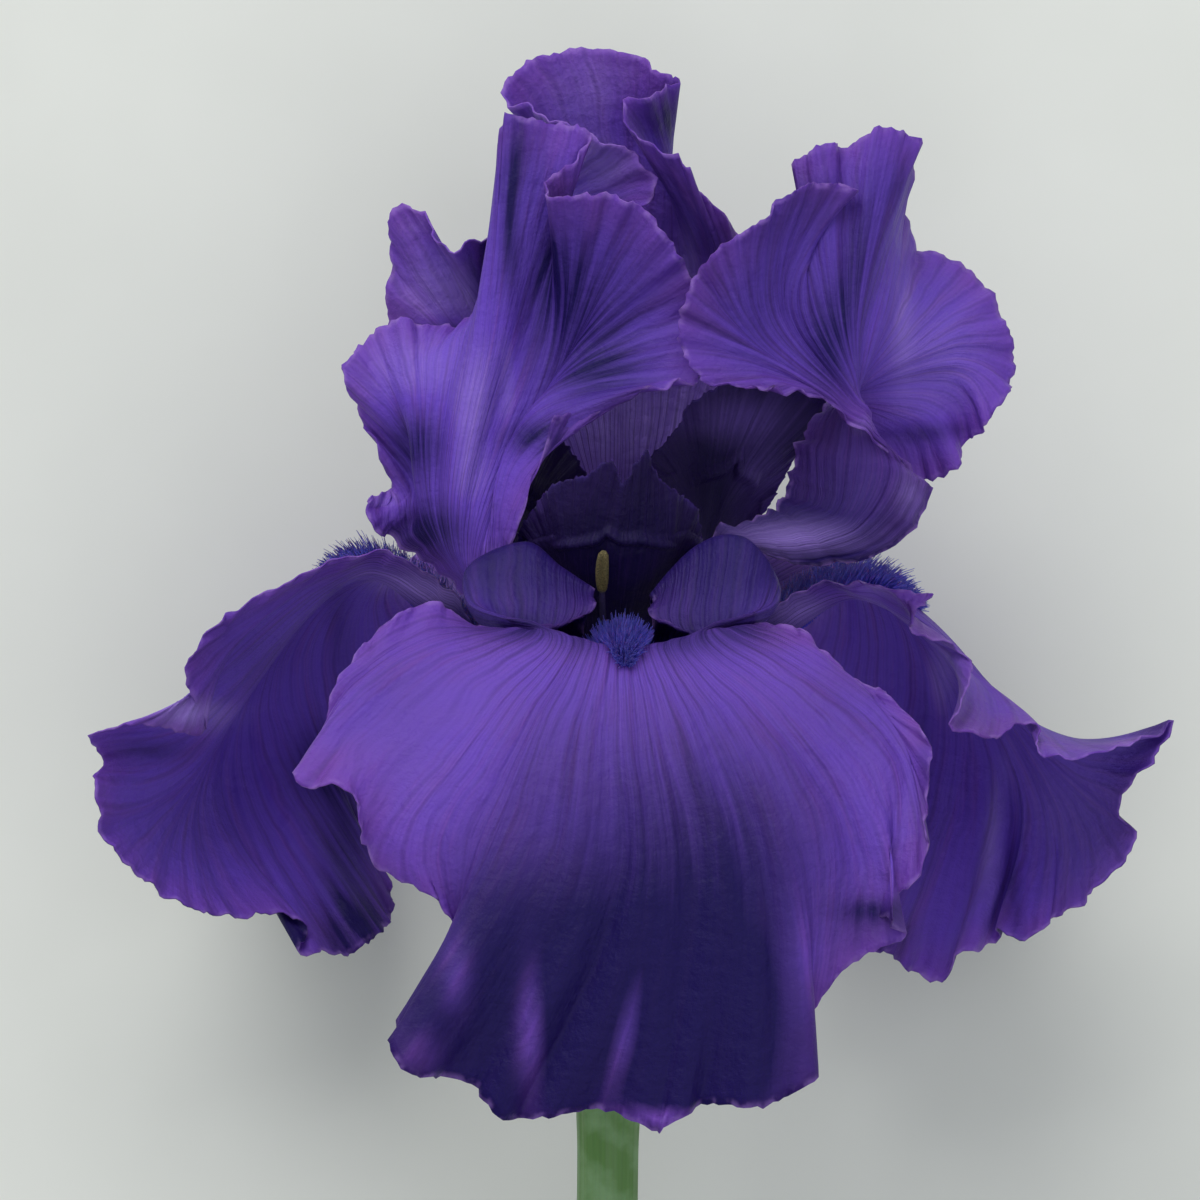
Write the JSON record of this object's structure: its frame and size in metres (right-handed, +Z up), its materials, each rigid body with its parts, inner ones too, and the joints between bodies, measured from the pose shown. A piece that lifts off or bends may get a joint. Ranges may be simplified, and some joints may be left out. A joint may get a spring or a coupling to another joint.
{
  "type": "bearded iris flower",
  "caption": "Cut bearded iris flower with ruffled violet drooping and upright petals, fuzzy beards, petal-like style arms and a short stem, lying on its back.",
  "frame": {"origin": "centre of the bounding box in X and Y, on the surface that the flower lies on", "axes": "+Y from the cut end of the stem towards the tips of the upright petals, +X across the flower to its right, +Z up, the way the front drooping petal faces"},
  "size_m": [0.1488, 0.2628, 0.1079],
  "materials": {
    "fall_front": "violet petal, satin, with dark veins and a reddish violet margin",
    "beard_front": "blue-violet fuzz of short hairs, paler at the tips",
    "fall_left": "violet petal, satin, with dark veins and a reddish violet margin",
    "beard_left": "blue-violet fuzz of short hairs, paler at the tips",
    "fall_right": "violet petal, satin, with dark veins and a reddish violet margin",
    "beard_right": "blue-violet fuzz of short hairs, paler at the tips",
    "standard_left": "violet petal, satin, with fine veins",
    "standard_right": "violet petal, satin, with fine veins",
    "standard_back": "violet petal, satin, with fine veins",
    "style_arm_front": "dark violet petal-like style branch",
    "stamen_front": "pale violet filament, olive yellow anther",
    "style_arm_left": "dark violet petal-like style branch",
    "stamen_left": "pale violet filament, olive yellow anther",
    "style_arm_right": "dark violet petal-like style branch",
    "stamen_right": "pale violet filament, olive yellow anther",
    "perianth_tube": "green flushed with violet",
    "ovary": "waxy green",
    "stem": "waxy grey-green",
    "outer_spathe": "papery green bract",
    "inner_spathe": "papery green bract"
  },
  "bodies": {
    "root": {"fall_front": "fall_front", "beard_front": "beard_front", "fall_left": "fall_left", "beard_left": "beard_left", "fall_right": "fall_right", "beard_right": "beard_right", "standard_left": "standard_left", "standard_right": "standard_right", "standard_back": "standard_back", "style_arm_front": "style_arm_front", "stamen_front": "stamen_front", "style_arm_left": "style_arm_left", "stamen_left": "stamen_left", "style_arm_right": "style_arm_right", "stamen_right": "stamen_right", "perianth_tube": "perianth_tube", "ovary": "ovary", "stem": "stem", "outer_spathe": "outer_spathe", "inner_spathe": "inner_spathe"}
  },
  "joints": []
}
